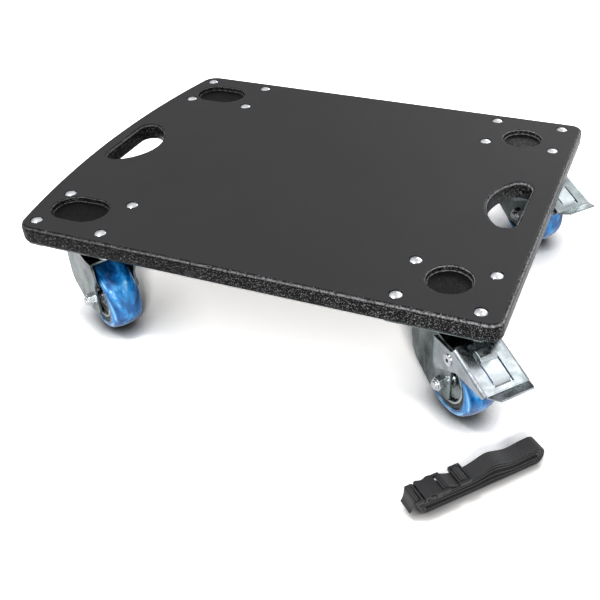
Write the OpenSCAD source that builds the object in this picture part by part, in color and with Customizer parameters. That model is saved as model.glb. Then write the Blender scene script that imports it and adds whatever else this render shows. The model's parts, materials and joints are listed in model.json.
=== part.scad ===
// Transport dolly: a painted plywood deck on four swivel casters, two of them with
// brakes, and the folded webbing strap that lies beside it.
// Origin: centre of the deck's top face. X runs from the bowed end to the straight end.

/* [Deck] */
// Length from the middle of the bowed end to the straight end
deck_len = 542; // [500:1:700]
// Width across the long sides
deck_w = 426; // [416:1:600]
// Thickness of the plywood with its paint
deck_t = 21; // [18:0.5:30]
// Radius of the bowed end
deck_bow_r = 1000; // [600:10:3000]
// Corner radius at the straight end
deck_corner_r = 14; // [13:1:40]
// Corner radius at the bowed end
deck_bow_corner_r = 20; // [14:1:40]
// Rounding of the deck's upper and lower edges
deck_edge_r = 5; // [2:0.5:8]

/* [Handle openings] */
// Length of each opening, between its ends
grip_len = 94; // [80:1:120]
// Width of the opening at the bowed end
grip_bow_w = 45; // [36:1:60]
// Width of the opening at the straight end
grip_straight_w = 38; // [34:1:60]
// Corner radius of both openings
grip_corner_r = 12; // [8:0.5:15]
// Deck left between the bowed end and its opening
grip_bow_edge = 20; // [15:1:40]
// Deck left between the straight end and its opening
grip_straight_edge = 27; // [18:1:40]
// Chamfer of the openings' rims
grip_rim = 3; // [1:0.5:4]

/* [Foot recesses] */
// Wall radius of a recess
foot_r = 22.5; // [16:0.5:24]
// Depth below the top face
foot_depth = 6; // [4.5:0.5:10]
// Rounding of the rim
foot_rim_r = 2.5; // [1:0.5:3]
// Extra length of the long recesses, to each side of their middle
foot_long = 9.5; // [4:0.5:14]
// Shift of the round recesses from the caster's middle, towards the deck's middle
foot_round_in = 9; // [4:0.5:12]
// Shift of the long recesses towards the deck's middle
foot_long_in = 4.5; // [2:0.5:10]
// Shift of the long recesses towards the bowed end
foot_long_out = 9; // [0:0.5:10]

/* [Caster plates] */
// Distance from the bowed end to the casters' middles
caster_bow_in = 76.5; // [72:0.5:90]
// Distance from the straight end to the casters' middles
caster_straight_in = 63.5; // [60:0.5:76]
// Distance from the long sides to the casters' middles
caster_side_in = 48; // [47:0.5:54]
// Bolt spacing along X
bolt_dx = 80; // [76:1:84]
// Bolt spacing along Y
bolt_dy = 60; // [58:1:64]
// Plate length along X
plate_len = 105; // [102:1:112]
// Plate width along Y
plate_w = 85; // [82:1:86]
// Plate thickness
plate_t = 3; // [2.5:0.5:4]
// Plate corner radius
plate_corner_r = 9; // [6:0.5:10]

/* [Plate bolts] */
// Bolt shank radius
bolt_r = 4; // [3:0.25:4.5]
// Bolt head radius
bolt_head_r = 6.8; // [6:0.1:8]
// Height of the domed head
bolt_head_h = 2.4; // [1.5:0.1:3]
// Thread that shows past the nut
bolt_end = 1.6; // [1:0.1:1.8]
// Width of the nut across its flats
nut_af = 13; // [12:0.5:14]
// Height of the nut
nut_h = 5.5; // [5:0.1:6]
// Radius of the nut's flange
nut_flange_r = 8; // [7.5:0.1:8.5]

/* [Swivel head] */
// Radius of the king pin
kingpin_r = 6; // [5:0.25:7]
// Radius of the upper ball circle
upper_ball_ring_r = 21; // [19:0.5:22]
// Radius of the lower ball circle
lower_ball_ring_r = 13; // [12:0.5:14]
// Ball radius
ball_r = 2.4; // [2:0.1:2.5]
// Number of upper balls
upper_balls = 22; // [12:1:24]
// Number of lower balls
lower_balls = 13; // [8:1:14]
// Depth of the race under the plate
race_h = 2; // [1.5:0.5:2.5]
// Thickness of the pin's lower race
pin_race_t = 2.5; // [2:0.5:3]

/* [Fork] */
// Distance from the swivel axis to the axle
trail = 31; // [28:0.5:33]
// Sheet thickness
fork_t = 2.4; // [2:0.1:2.6]
// Gap between the tyre and the fork's legs
tyre_gap = 3.6; // [3.2:0.1:5]
// Distance from the swivel axis to the fork's closed back
fork_back = 35; // [33:0.5:37]
// Corner radius of the closed back
fork_corner_r = 20; // [16:0.5:22]
// How far the legs reach below the axle
leg_below = 16.4; // [15:0.2:18]
// Swivel axis to the leg's front edge at its top
fork_front = 48; // [46.5:0.5:48.5]

/* [Wheel] */
// Wheel radius
wheel_r = 40; // [38:0.5:41]
// Tyre width
tyre_w = 36; // [32:0.5:37]
// Radius of the core under the tyre
core_r = 30; // [28.5:0.5:31.5]
// Rounding of the tread's shoulders
shoulder_r = 8; // [5:0.5:9]
// Space between the wheel and the ends of the plate bolts
wheel_headroom = 15.9; // [15:0.1:18]
// Outer radius of a ball bearing
bearing_r = 14; // [13:0.5:15]
// Width of a ball bearing
bearing_w = 8; // [6:0.5:9]
// Outer radius of the sleeve between the legs
sleeve_r = 6; // [5.5:0.25:6.5]
// Radius of the axle bolt
axle_r = 4; // [3.5:0.25:4.5]
// Radius of the pressed dust cover
cover_r = 25; // [22:0.5:26.5]
// Depth of the dust cover's cup
cover_depth = 4.5; // [3:0.5:5]

/* [Brake] */
// Pivot's distance in front of the swivel axis
pivot_u = 44; // [43:0.5:45]
// Pivot's distance below the pedal's upper edge
pivot_drop = 15.5; // [14:0.5:17]
// Space between the ends of the plate bolts and the pedal's upper edge
pedal_clear = 1.9; // [1.5:0.1:2.5]
// Angle between the released and the pressed pedal
brake_travel = 8; // [5:0.5:9]
// Slope of the released pedal, downwards
pedal_slope = 20.4; // [18:0.2:23]
// Length of the pedal's flat
pedal_len = 52; // [47:0.5:56]
// Sheet thickness of the pedal
pedal_t = 1.8; // [1.5:0.1:2]
// Depth of the pedal's side cheeks at its toe
pedal_flange = 3.5; // [3:0.25:5]
// How far the cheeks reach behind the pivot, along the legs
cheek_back = 24; // [18:1:26]
// Corner rounding between flat and cheek
pedal_bend_r = 4.5; // [3:0.25:5]
// Length of the raised toe lip
lip_len = 15; // [10:0.5:18]
// Cut-back of the lip's outer corners
lip_corner = 6; // [3:0.5:8]
// Window: half of its width
window_hw = 10.5; // [9.9:0.1:11]
// Half of the brake strip's width
strip_hw = 9; // [8:0.1:9.2]
// Rivet radius
rivet_r = 4; // [3:0.25:4.5]
// Rivet head radius
rivet_head_r = 6; // [5.5:0.25:7]

/* [Webbing strap] */
// Strap width
strap_w = 16; // [16:1:24]
// Strap thickness
strap_t = 1.8; // [1.4:0.1:1.9]
// Distance between the folded layers
strap_pitch = 2.7; // [2.4:0.05:2.7]
// Distance between the hank's end bends
strap_run = 115; // [108:1:125]
// Height of the hump where the layers spread
strap_hump = 6; // [0:0.5:6]
// Rise of the upper layers at the far end bends
strap_end_rise = 3; // [0:0.5:3]
// Distance from the deck's straight end back to the hank's near bends
strap_end_in = 29; // [1:1:33]
// Distance from the deck's long side out to the hank
strap_side_out = 112; // [110:1:132]
// Turn of the hank about Z
strap_turn = 49; // [44:1:54]

/* [Hidden] */
$fn = 64;
eps = 0.01;
run_gap = 0.05;
seat_gap = 0.3;
ball_gap = 0.1;

// Heights, all measured from the deck's top face
deck_under = -deck_t;
plate_under = deck_under - plate_t;
race_under = plate_under - race_h;
fork_top = race_under - 2 * (ball_r + ball_gap);
fork_under = fork_top - fork_t;
pin_race_top = fork_under - 2 * (ball_r + ball_gap);
nut_under = plate_under - nut_h;
bolts_low = nut_under - bolt_end;
axle_z = bolts_low - wheel_headroom - wheel_r;
floor_z = axle_z - wheel_r;

// Caster places
caster_dx = deck_len - caster_bow_in - caster_straight_in;
caster_dy = deck_w - 2 * caster_side_in;
caster_shift = (caster_bow_in - caster_straight_in) / 2;

// Widths across the wheel, each from its middle plane
leg_in = tyre_w / 2 + tyre_gap;
fork_hw = leg_in + fork_t;
cheek_out = leg_in - seat_gap;
pedal_hw = fork_hw + seat_gap + pedal_t;
core_hw = tyre_w / 2 - 1.5;
cover_t = 1;
cup_out = core_hw - cover_depth;
cup_seat = cup_out - cover_t - seat_gap;

// Axle fasteners
axle_nut_h = 6.5;
axle_end = 2;
axle_head_h = 5.3;

// Brake places: the pedal's own frame starts at its upper edge
pedal_z = bolts_low - pedal_clear;
pivot_z = pedal_z - pivot_drop;
pedal_u = pivot_u + 6.5;
lever_t = 1.8;
window_from = 7;
window_to = pedal_len - 4.5;
lip_hw = pedal_hw - pedal_bend_r + 0.8;
shoe_gap = 0.4;

// Recess and opening places
foot_round_x = caster_shift + caster_dx / 2;
foot_long_x = caster_shift - caster_dx / 2 - foot_long_out;
grip_bow_x = -deck_len / 2 + grip_bow_edge;
grip_straight_x = deck_len / 2 - grip_straight_edge;

// Each caster: name, X side, Y side, turn of the trail about Z, braked
NAME = 0;
CASTERS = [
    ["front_right", 1, -1, -40, true],
    ["rear_right", 1, 1, -39.5, true],
    ["front_left", -1, -1, -30.5, false],
    ["rear_left", -1, 1, -34, false],
];
CASTER_NODES = ["plate", "kingpin", "swivel_balls", "fork", "tyre", "wheel_core",
    "wheel_bearings", "dust_covers", "axle_sleeve", "axle_bolt", "axle_nut"];
BRAKE_NODES = ["brake_pedal", "brake_lever", "brake_strip", "brake_rivets"];
NODES = concat(
    ["deck_board", "plate_bolts", "plate_nuts"],
    [for (c = CASTERS) for (p = CASTER_NODES) str(c[NAME], "_", p)],
    [for (c = CASTERS) if (c[4]) for (p = BRAKE_NODES) str(c[NAME], "_", p)],
    ["strap_webbing", "strap_buckle_socket", "strap_buckle_plug", "strap_slider"]);
node = "all";

function shown(name) = node == "all" || node == name;
function caster_x(c) = caster_shift + c[1] * caster_dx / 2;
function caster_y(c) = c[2] * caster_dy / 2;
function unit(v) = v / norm(v);

// Outline of a band of thickness t whose middle line runs through pts
function side_dirs(pts) = [for (i = [0 : len(pts) - 1])
    let (a = unit(pts[min(i + 1, len(pts) - 1)] - pts[max(i - 1, 0)])) [-a[1], a[0]]];
function band_outline(pts, t) = let (d = side_dirs(pts), n = len(pts)) concat(
    [for (i = [0 : n - 1]) pts[i] + d[i] * t / 2],
    [for (i = [n - 1 : -1 : 0]) pts[i] - d[i] * t / 2]);

function turned(p, a) = [p[0] * cos(a) - p[1] * sin(a), p[0] * sin(a) + p[1] * cos(a)];

// Stands a drawing of (u, z) up and gives it the width from y0 to y1
module across(y0, y1) {
    translate([0, y1, 0]) rotate([90, 0, 0]) linear_extrude(height = y1 - y0) children();
}

// Both sides of the fork's middle plane
module both_sides() {
    children();
    mirror([0, 1, 0]) children();
}

module at_bolts() {
    for (x = [-1, 1], y = [-1, 1]) translate([x * bolt_dx / 2, y * bolt_dy / 2, 0]) children();
}

module at_caster(c) {
    translate([caster_x(c), caster_y(c), 0]) rotate([0, 0, c[3]]) children();
}

// Turns about the wheel's axle: drawings hold (distance from the middle plane, radius)
module about_axle() {
    translate([trail, 0, axle_z]) rotate([-90, 0, 0]) children();
}

// Closed outline, grown by d, with a straight end at x1, a bowed end whose middle is at x0,
// and two sides at y = hw and -hw
function arc(middle, r, a0, a1, steps) = [for (i = [0 : steps])
    let (a = a0 + (a1 - a0) * i / steps) middle + r * [cos(a), sin(a)]];
function distinct(pts) = [for (i = [0 : len(pts) - 1])
    if (norm(pts[i] - pts[(i + 1) % len(pts)]) > eps) pts[i]];
function bowed_outline(x0, x1, hw, bow, r0, r1, d) = let (
    phi = asin((hw - r0) / (bow - r0)),
    c0 = x0 + bow - (bow - r0) * cos(phi),
    c1 = x1 - r1)
    distinct(concat(
        arc([c1, hw - r1], r1 + d, 0, 90, 8),
        arc([c0, hw - r0], r0 + d, 90, 180 - phi, 8),
        arc([x0 + bow, 0], bow + d, 180 - phi, 180 + phi, 16),
        arc([c0, r0 - hw], r0 + d, 180 + phi, 270, 8),
        arc([c1, r1 - hw], r1 + d, 270, 360, 8)));

// Deck

function deck_outline(d) = bowed_outline(-deck_len / 2, deck_len / 2, deck_w / 2, deck_bow_r,
    deck_bow_corner_r, deck_corner_r, d);

// Board with its edges rounded in steps
module deck_slab() {
    steps = 8;
    hull() for (i = [0 : steps]) {
        down = deck_edge_r * (1 - sin(90 * i / steps));
        translate([0, 0, -deck_t + down]) linear_extrude(height = deck_t - 2 * down)
            polygon(deck_outline(-deck_edge_r * (1 - cos(90 * i / steps))));
    }
}

// Opening with its straight side at x = 0, its bowed side at x = -w, and chamfered rims
function grip_outline(w, d) = let (hw = grip_len / 2, r = grip_corner_r,
    bow = (pow(w - r, 2) + pow(hw - r, 2) - r * r) / (2 * (w - 2 * r)))
    bowed_outline(-w, 0, hw, bow, r, r, d);
module grip_cut(w) {
    translate([0, 0, -deck_t - 1]) linear_extrude(height = deck_t + 2)
        polygon(grip_outline(w, 0));
    for (z = [0, -deck_t]) translate([0, 0, z]) mirror([0, 0, z < 0 ? 1 : 0]) hull() {
        translate([0, 0, -grip_rim]) linear_extrude(height = eps) polygon(grip_outline(w, 0));
        translate([0, 0, eps]) linear_extrude(height = eps) polygon(grip_outline(w, grip_rim));
    }
}

// Part of a cut that flares out at a rounded rim: (outward distance, height) from the rim
module flare(r) {
    difference() {
        translate([-1, -r]) square([r + 1, r + 1]);
        translate([r, -r]) circle(r);
    }
}

module foot_wall() {
    translate([0, -foot_depth]) square([foot_r, foot_depth + 1]);
    translate([foot_r, 0]) flare(foot_rim_r);
}

module foot_recess(long) {
    if (long > 0) {
        for (s = [-1, 1]) translate([s * long, 0, 0]) rotate([0, 0, -s * 90])
            rotate_extrude(angle = 180) foot_wall();
        rotate([90, 0, 90]) linear_extrude(height = 2 * long, center = true) {
            foot_wall();
            mirror([1, 0]) foot_wall();
        }
    } else rotate_extrude() foot_wall();
}

head_sink = 1.2;
module deck_board() {
    color([0.2, 0.2, 0.21]) difference() {
        deck_slab();
        translate([grip_bow_x, 0, 0]) mirror([1, 0, 0]) grip_cut(grip_bow_w);
        translate([grip_straight_x, 0, 0]) grip_cut(grip_straight_w);
        for (s = [-1, 1]) {
            translate([foot_round_x, s * (caster_dy / 2 - foot_round_in), 0]) foot_recess(0);
            translate([foot_long_x, s * (caster_dy / 2 - foot_long_in), 0]) foot_recess(foot_long);
        }
        for (c = CASTERS) translate([caster_x(c), caster_y(c), 0]) at_bolts() {
            translate([0, 0, -deck_t - 1]) cylinder(r = bolt_r + seat_gap, h = deck_t + 2);
            translate([0, 0, -head_sink]) cylinder(r = bolt_head_r + 0.1, h = head_sink + 1);
        }
    }
}

module plate_bolts() {
    dome_r = (pow(bolt_head_r, 2) + pow(bolt_head_h, 2)) / (2 * bolt_head_h);
    color([0.75, 0.78, 0.8]) for (c = CASTERS) translate([caster_x(c), caster_y(c), 0]) at_bolts() {
        translate([0, 0, -head_sink]) rotate_extrude() intersection() {
            translate([0, bolt_head_h - dome_r]) circle(dome_r, $fn = 128);
            square([bolt_head_r, bolt_head_h]);
        }
        translate([0, 0, nut_under - bolt_end])
            cylinder(r = bolt_r, h = -nut_under + bolt_end - head_sink + eps);
    }
}

module plate_nuts() {
    flange_h = 1.5;
    color([0.7, 0.74, 0.76]) for (c = CASTERS) translate([caster_x(c), caster_y(c), nut_under])
        at_bolts() difference() {
            union() {
                cylinder(d = nut_af / cos(30), h = nut_h, $fn = 6);
                translate([0, 0, nut_h - flange_h]) cylinder(r = nut_flange_r, h = flange_h);
            }
            translate([0, 0, -1]) cylinder(r = bolt_r + run_gap, h = nut_h + 2);
        }
}

// Swivel head

module rounded_plate(l, w, r) {
    square([l - 2 * r, w], center = true);
    square([l, w - 2 * r], center = true);
    for (x = [-1, 1], y = [-1, 1]) translate([x * (l / 2 - r), y * (w / 2 - r)]) circle(r);
}

module ring(r_in, r_out, z0, z1) {
    translate([0, 0, z0]) linear_extrude(height = z1 - z0) difference() {
        circle(r_out);
        circle(r_in);
    }
}

race_w = 6;
module caster_plate() {
    color([0.66, 0.7, 0.72]) {
        difference() {
            translate([0, 0, plate_under]) linear_extrude(height = plate_t)
                rounded_plate(plate_len, plate_w, plate_corner_r);
            translate([0, 0, plate_under - 1]) cylinder(r = kingpin_r, h = plate_t + 2);
            at_bolts() translate([0, 0, plate_under - 1])
                cylinder(r = bolt_r + seat_gap, h = plate_t + 2);
        }
        ring(upper_ball_ring_r - race_w / 2, upper_ball_ring_r + race_w / 2, race_under,
            plate_under + eps);
    }
}

module kingpin() {
    color([0.6, 0.64, 0.66]) {
        translate([0, 0, pin_race_top - eps])
            cylinder(r = kingpin_r, h = deck_under - seat_gap - pin_race_top + eps);
        translate([0, 0, pin_race_top - pin_race_t])
            cylinder(r = lower_ball_ring_r + ball_r + 0.6, h = pin_race_t);
        translate([0, 0, pin_race_top - pin_race_t - 1.2]) cylinder(r1 = 5.5, r2 = 7, h = 1.2 + eps);
    }
}

module ball_ring(r, n, z) {
    for (i = [0 : n - 1]) rotate([0, 0, i * 360 / n]) translate([r, 0, z]) sphere(ball_r, $fn = 24);
}

module swivel_balls() {
    color([0.8, 0.8, 0.8]) {
        ball_ring(upper_ball_ring_r, upper_balls, (race_under + fork_top) / 2);
        ball_ring(lower_ball_ring_r, lower_balls, (fork_under + pin_race_top) / 2);
    }
}

// Fork

// Plan of the fork, open towards its front
leg_front = pivot_u + rivet_r + 3;
module fork_plan(hw, back, r) {
    front = leg_front + 1;
    translate([-back, -hw + r]) square([back + front, 2 * (hw - r)]);
    translate([-back + r, -hw]) square([back - r + front, 2 * hw]);
    for (y = [-1, 1]) translate([-back + r, y * (hw - r)]) circle(r);
}

// Side view of the fork's legs, from the crown to the tip round the axle
module fork_side() {
    polygon(concat(crown_line(fork_top, fork_front), [
        [fork_front, pivot_z + 11], [leg_front, pivot_z + 7.5], [leg_front, pivot_z - 6.5],
        [trail + 15.5, axle_z + 23], [trail + 15.5, axle_z - 8],
        [trail + 12.8, axle_z - leg_below + 3], [trail - 13, axle_z - leg_below],
        [trail - 20, axle_z - leg_below + 2], [trail - 35, axle_z - 4.8],
        [trail - 43.5, axle_z + 0.5], [trail - 51, axle_z + 11], [trail - 55.5, axle_z + 25],
        [-fork_back - 1, axle_z + 40]]));
}

// Crown seen from the side: level under the race, then a step down to its front edge
function crown_line(z, front) =
    [[-fork_back - 1, z], [24, z], [24 + 4 * crown_step, z - crown_step], [front, z - crown_step]];
crown_step = 3;
crown_front = fork_front - 1;
module fork(braked) {
    rim_r = upper_ball_ring_r + race_w / 2 + 0.4;
    low = axle_z - leg_below - 1;
    color([0.64, 0.68, 0.7]) {
        difference() {
            intersection() {
                difference() {
                    translate([0, 0, low]) linear_extrude(height = fork_top - low)
                        fork_plan(fork_hw, fork_back, fork_corner_r);
                    intersection() {
                        translate([0, 0, low - 1]) linear_extrude(height = fork_under - low + 1)
                            fork_plan(leg_in, fork_back - fork_t, fork_corner_r - fork_t);
                        across(-fork_hw, fork_hw) polygon(concat(
                            crown_line(fork_under, 2 * fork_front),
                            [[2 * fork_front, low - 2], [-fork_back - 1, low - 2]]));
                    }
                    translate([crown_front, -leg_in, fork_under - crown_step - 1])
                        cube([fork_front, 2 * leg_in, fork_t + crown_step + 2]);
                }
                across(-fork_hw, fork_hw) fork_side();
            }
            translate([0, 0, fork_under - 1]) cylinder(r = kingpin_r + 0.5, h = fork_t + 2);
            about_axle() translate([0, 0, -fork_hw - 1])
                cylinder(r = axle_r + run_gap, h = 2 * fork_hw + 2);
            if (braked) translate([pivot_u, fork_hw + 1, pivot_z]) rotate([90, 0, 0])
                cylinder(r = rivet_r, h = 2 * fork_hw + 2);
        }
        ring(rim_r, rim_r + 1.8, fork_top - eps, plate_under - 0.6);
    }
}

// Wheel

function mirrored(pts) = concat(pts, [for (i = [len(pts) - 1 : -1 : 0]) [pts[i][0], -pts[i][1]]]);

module tyre() {
    hw = tyre_w / 2;
    color([0.1, 0.45, 0.85]) about_axle() rotate_extrude() polygon(mirrored(concat(
        [[core_r, hw - 1.2]],
        arc([wheel_r - shoulder_r, hw - shoulder_r], shoulder_r, 90, 0, 8))));
}

bearing_in = 0.5;
rim_sink = 1;
module wheel_core() {
    seat = cup_seat - bearing_in - bearing_w;
    color([0.08, 0.08, 0.09]) about_axle() rotate_extrude() polygon(mirrored([
        [bearing_r - 3, seat], [bearing_r + run_gap, seat], [bearing_r + run_gap, cup_seat],
        [cover_r - 3.8, cup_seat], [cover_r - 1.7, core_hw - rim_sink],
        [cover_r + seat_gap, core_hw - rim_sink], [cover_r + seat_gap, core_hw],
        [core_r - seat_gap, core_hw]]));
}

module wheel_bearings() {
    groove = 0.5;
    color([0.7, 0.72, 0.74]) about_axle() both_ends() rotate_extrude()
        translate([0, cup_seat - bearing_in]) polygon([
            [sleeve_r + run_gap, 0], [sleeve_r + 2, 0], [sleeve_r + 2, -groove],
            [bearing_r - 2, -groove], [bearing_r - 2, 0], [bearing_r, 0],
            [bearing_r, -bearing_w], [sleeve_r + run_gap, -bearing_w]]);
}

module both_ends() {
    children();
    mirror([0, 0, 1]) children();
}

// Pressed cup with a flat rim and a raised collar round the sleeve
module dust_covers() {
    rim_out = core_hw - rim_sink + cover_t + 0.2;
    color([0.72, 0.74, 0.74]) about_axle() both_ends() rotate_extrude() polygon([
        [sleeve_r + 0.4, cup_out + 2], [sleeve_r + 3, cup_out + 2], [sleeve_r + 3.6, cup_out],
        [cover_r - 4.6, cup_out], [cover_r - 2.6, rim_out], [cover_r, rim_out],
        [cover_r, core_hw - rim_sink], [cover_r - 2, core_hw - rim_sink],
        [cover_r - 4, cup_out - cover_t], [sleeve_r + 0.4, cup_out - cover_t]]);
}

module axle_sleeve() {
    color([0.6, 0.62, 0.64]) about_axle() ring(axle_r + run_gap, sleeve_r, -leg_in, leg_in);
}

module axle_bolt() {
    color([0.78, 0.8, 0.82]) about_axle() {
        translate([0, 0, -fork_hw - axle_nut_h - axle_end])
            cylinder(r = axle_r, h = 2 * fork_hw + axle_nut_h + axle_end + eps);
        translate([0, 0, fork_hw]) cylinder(d = nut_af / cos(30), h = axle_head_h, $fn = 6);
    }
}

module axle_nut() {
    collar_h = 1.8;
    color([0.8, 0.82, 0.84]) about_axle() mirror([0, 0, 1]) difference() {
        union() {
            translate([0, 0, fork_hw])
                cylinder(d = nut_af / cos(30), h = axle_nut_h - collar_h, $fn = 6);
            translate([0, 0, fork_hw]) cylinder(r = nut_af / 2 - 0.8, h = axle_nut_h);
        }
        translate([0, 0, fork_hw - 1]) cylinder(r = axle_r + run_gap, h = axle_nut_h + 2);
    }
}

// Brake

// Place in (u, z) of a point given along the pedal's slope and square to it
function on_pedal(t, n) = [
    pedal_u + t * cos(pedal_slope) + n * sin(pedal_slope),
    pedal_z - t * sin(pedal_slope) + n * cos(pedal_slope)];

module at_pedal() {
    translate([pedal_u, 0, pedal_z]) rotate([0, pedal_slope, 0]) children();
}

// Cross-section of a channel that hangs down from its flat top
module channel(hw, depth, r, top) {
    translate([-hw, -depth]) square([2 * hw, depth - r + top]);
    translate([-hw + r, -r + top - eps]) square([2 * (hw - r), r + eps]);
    for (y = [-1, 1]) translate([y * (hw - r), -r + top]) circle(r);
}

// Side view of the pedal: the flat's slope, the toe and the cheeks along the legs
function pedal_side() = [
    [pivot_u - cheek_back, pedal_z - 3.5], [fork_front + 0.5, pedal_z - 3.5], on_pedal(0, 1),
    on_pedal(pedal_len + 1, 1), on_pedal(pedal_len + 1, -pedal_flange),
    [pivot_u + 13, pivot_z - 6.5], [pivot_u + 2, pivot_z - 12],
    [pivot_u - cheek_back + 4, pivot_z - 23.5], [pivot_u - cheek_back, pivot_z - 19]];

module brake_pedal() {
    reach = 60;
    color([0.74, 0.77, 0.79]) {
        difference() {
            intersection() {
                at_pedal() translate([-reach, 0, 0]) rotate([90, 0, 90])
                    linear_extrude(height = reach + pedal_len) difference() {
                        channel(pedal_hw, reach, pedal_bend_r, 0);
                        channel(pedal_hw - pedal_t, reach + 1, pedal_bend_r - pedal_t, -pedal_t);
                    }
                across(-pedal_hw - 1, pedal_hw + 1) polygon(pedal_side());
            }
            at_pedal() translate([window_from, -window_hw, -pedal_t - 1])
                cube([window_to - window_from, 2 * window_hw, pedal_t + 2]);
            translate([pivot_u, pedal_hw + 1, pivot_z]) rotate([90, 0, 0])
                cylinder(r = rivet_r + run_gap, h = 2 * pedal_hw + 2);
        }
        at_pedal() difference() {
            across(-lip_hw, lip_hw) polygon(band_outline([
                [pedal_len - 4, -pedal_t / 2], [pedal_len + 1.5, -pedal_t / 2],
                [pedal_len + 1.5 + lip_len * cos(2 * pedal_slope),
                    -pedal_t / 2 + lip_len * sin(2 * pedal_slope)]], pedal_t));
            both_sides() translate([0, 0, -pedal_t - 1])
                linear_extrude(height = lip_len + pedal_t) polygon([
                    [pedal_len + 3, lip_hw + 1], [pedal_len + 3, lip_hw],
                    [pedal_len + lip_len, lip_hw - lip_corner],
                    [pedal_len + lip_len + 4, lip_hw - lip_corner],
                    [pedal_len + lip_len + 4, lip_hw + 1]]);
        }
    }
}

// Pivot's place in the pedal's frame
pivot_t = (pivot_u - pedal_u) * cos(pedal_slope) - (pivot_z - pedal_z) * sin(pedal_slope);
pivot_n = (pivot_u - pedal_u) * sin(pedal_slope) + (pivot_z - pedal_z) * cos(pedal_slope);
module brake_lever() {
    ear_r = 8;
    color([0.6, 0.64, 0.66]) at_pedal() {
        both_sides() difference() {
            across(cheek_out - lever_t, cheek_out) {
                polygon([
                    [2, -pedal_t], [pedal_len - 2, -pedal_t],
                    [pedal_len - 2, -pedal_t - lever_t], [pivot_t + 4, pivot_n - 6.4],
                    [pivot_t, pivot_n], [pivot_t - 6.6, pivot_n + 4.5]]);
                translate([pivot_t, pivot_n]) circle(ear_r);
            }
            translate([pivot_t, cheek_out + 1, pivot_n]) rotate([90, 0, 0])
                cylinder(r = rivet_r + run_gap, h = lever_t + 2);
        }
        difference() {
            translate([2, -cheek_out + eps, -pedal_t - lever_t])
                cube([pedal_len - 4, 2 * (cheek_out - eps), lever_t]);
            translate([window_from, -window_hw, -pedal_t - lever_t - 1])
                cube([window_to - window_from, 2 * window_hw, lever_t + 2]);
        }
    }
}

// Strip under the toe, up through the window, over a raised tab and down to the shoe. The
// shoe lies on the tread once the pedal has travelled its whole way.
strip_t = 1.6;
shoe_t = 2.4;
function shoe_point(a) = let (
    pivot = [pivot_u, pivot_z],
    pressed = [trail, axle_z] + (wheel_r + shoe_gap + shoe_t / 2) * [cos(a), sin(a)])
    pivot + turned(pressed - pivot, brake_travel);
module brake_strip() {
    under = -pedal_t - lever_t - strip_t / 2;
    tab = 3.2;
    shoe_from = 48;
    shoe_to = 67;
    route = [
        on_pedal(pedal_len - 3, under), on_pedal(window_to - 1, under),
        on_pedal(window_to - 5.5, -strip_t / 2), on_pedal(22, -strip_t / 2),
        on_pedal(20.5, tab / 2), on_pedal(18, tab), on_pedal(window_from + 3.5, tab),
        on_pedal(window_from + 1.6, tab / 3), on_pedal(window_from + 1.2, -7),
        shoe_point((shoe_from + shoe_to) / 2)];
    shoe = [for (i = [0 : 5]) shoe_point(shoe_from + (shoe_to - shoe_from) * i / 5)];
    color([0.7, 0.74, 0.76]) {
        across(-strip_hw, strip_hw) polygon(band_outline(route, strip_t));
        across(-strip_hw, strip_hw) polygon(band_outline(shoe, shoe_t));
    }
}

module brake_rivets() {
    inner = cheek_out - lever_t - 0.2;
    head_t = 1.1;
    color([0.82, 0.84, 0.85]) both_sides() translate([pivot_u, 0, pivot_z]) rotate([-90, 0, 0])
        difference() {
            union() {
                translate([0, 0, inner]) cylinder(r = rivet_r, h = pedal_hw - inner + head_t);
                translate([0, 0, pedal_hw + run_gap]) cylinder(r = rivet_head_r, h = head_t);
                translate([0, 0, inner - 0.6]) cylinder(r = rivet_r + 1, h = 0.6 + eps);
            }
            translate([0, 0, inner - 2]) cylinder(r = rivet_r / 2, h = pedal_hw);
        }
}

// Webbing strap: drawings hold (distance along the hank, height above its middle)

strap_r0 = strap_pitch * 0.62;
hank_under = strap_r0 + 2 * strap_pitch + strap_t / 2;
hank_top = strap_r0 + 2 * strap_pitch + strap_t / 2 + seat_gap;

// Half turns h0 to h1 of one arm of the double spiral, growing by one pitch each
function arm(h0, h1) = [for (h = [h0 : h1], j = [0 : 12])
    let (a = 180 * h - 90 + 15 * j, r = strap_r0 + strap_pitch * (h - h0 + j / 12))
    [(h % 2 == 0 ? strap_run : 0) + r * cos(a), r * sin(a)]];

// Adds points along each long straight of a route
function filled(pts) = [for (i = [0 : len(pts) - 1]) each
    i > 0 && abs(pts[i][0] - pts[i - 1][0]) > strap_run / 2
    ? [for (j = [1 : 16]) pts[i - 1] + (pts[i] - pts[i - 1]) * j / 16] : [pts[i]]];
function humped(p) = p + [0, max(0, min(1, (p[1] + hank_under) / (2 * hank_under)))
    * (strap_hump * exp(-pow((p[0] - 0.6 * strap_run) / 14, 2))
        + strap_end_rise / (1 + exp((0.86 * strap_run - p[0]) / 4)))];
function reversed(v) = [for (i = [len(v) - 1 : -1 : 0]) v[i]];

bar_z = hank_top + 4;
socket_bar_s = 20;
plug_bar_s = -11.5;
slider_s = 37;
top_z = strap_r0 + 3 * strap_pitch;
turn_r = 2.5;
function round_bar(s, z, a0, a1) = [for (j = [0 : 6]) let (a = a0 + (a1 - a0) * j / 6)
    [s + turn_r * cos(a), z + turn_r * sin(a)]];

// The top end: under, over and under the slider's bars, then round the socket's bar
socket_end = concat(
    [[slider_s + 1.6, bar_z + 1.7], [slider_s - 1.6, bar_z + 1.7], [slider_s - 6.2, top_z + 0.3]],
    round_bar(socket_bar_s, bar_z, 80, 260),
    [[socket_bar_s + 4.5, hank_top + 0.6 + strap_t / 2]]);
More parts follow.
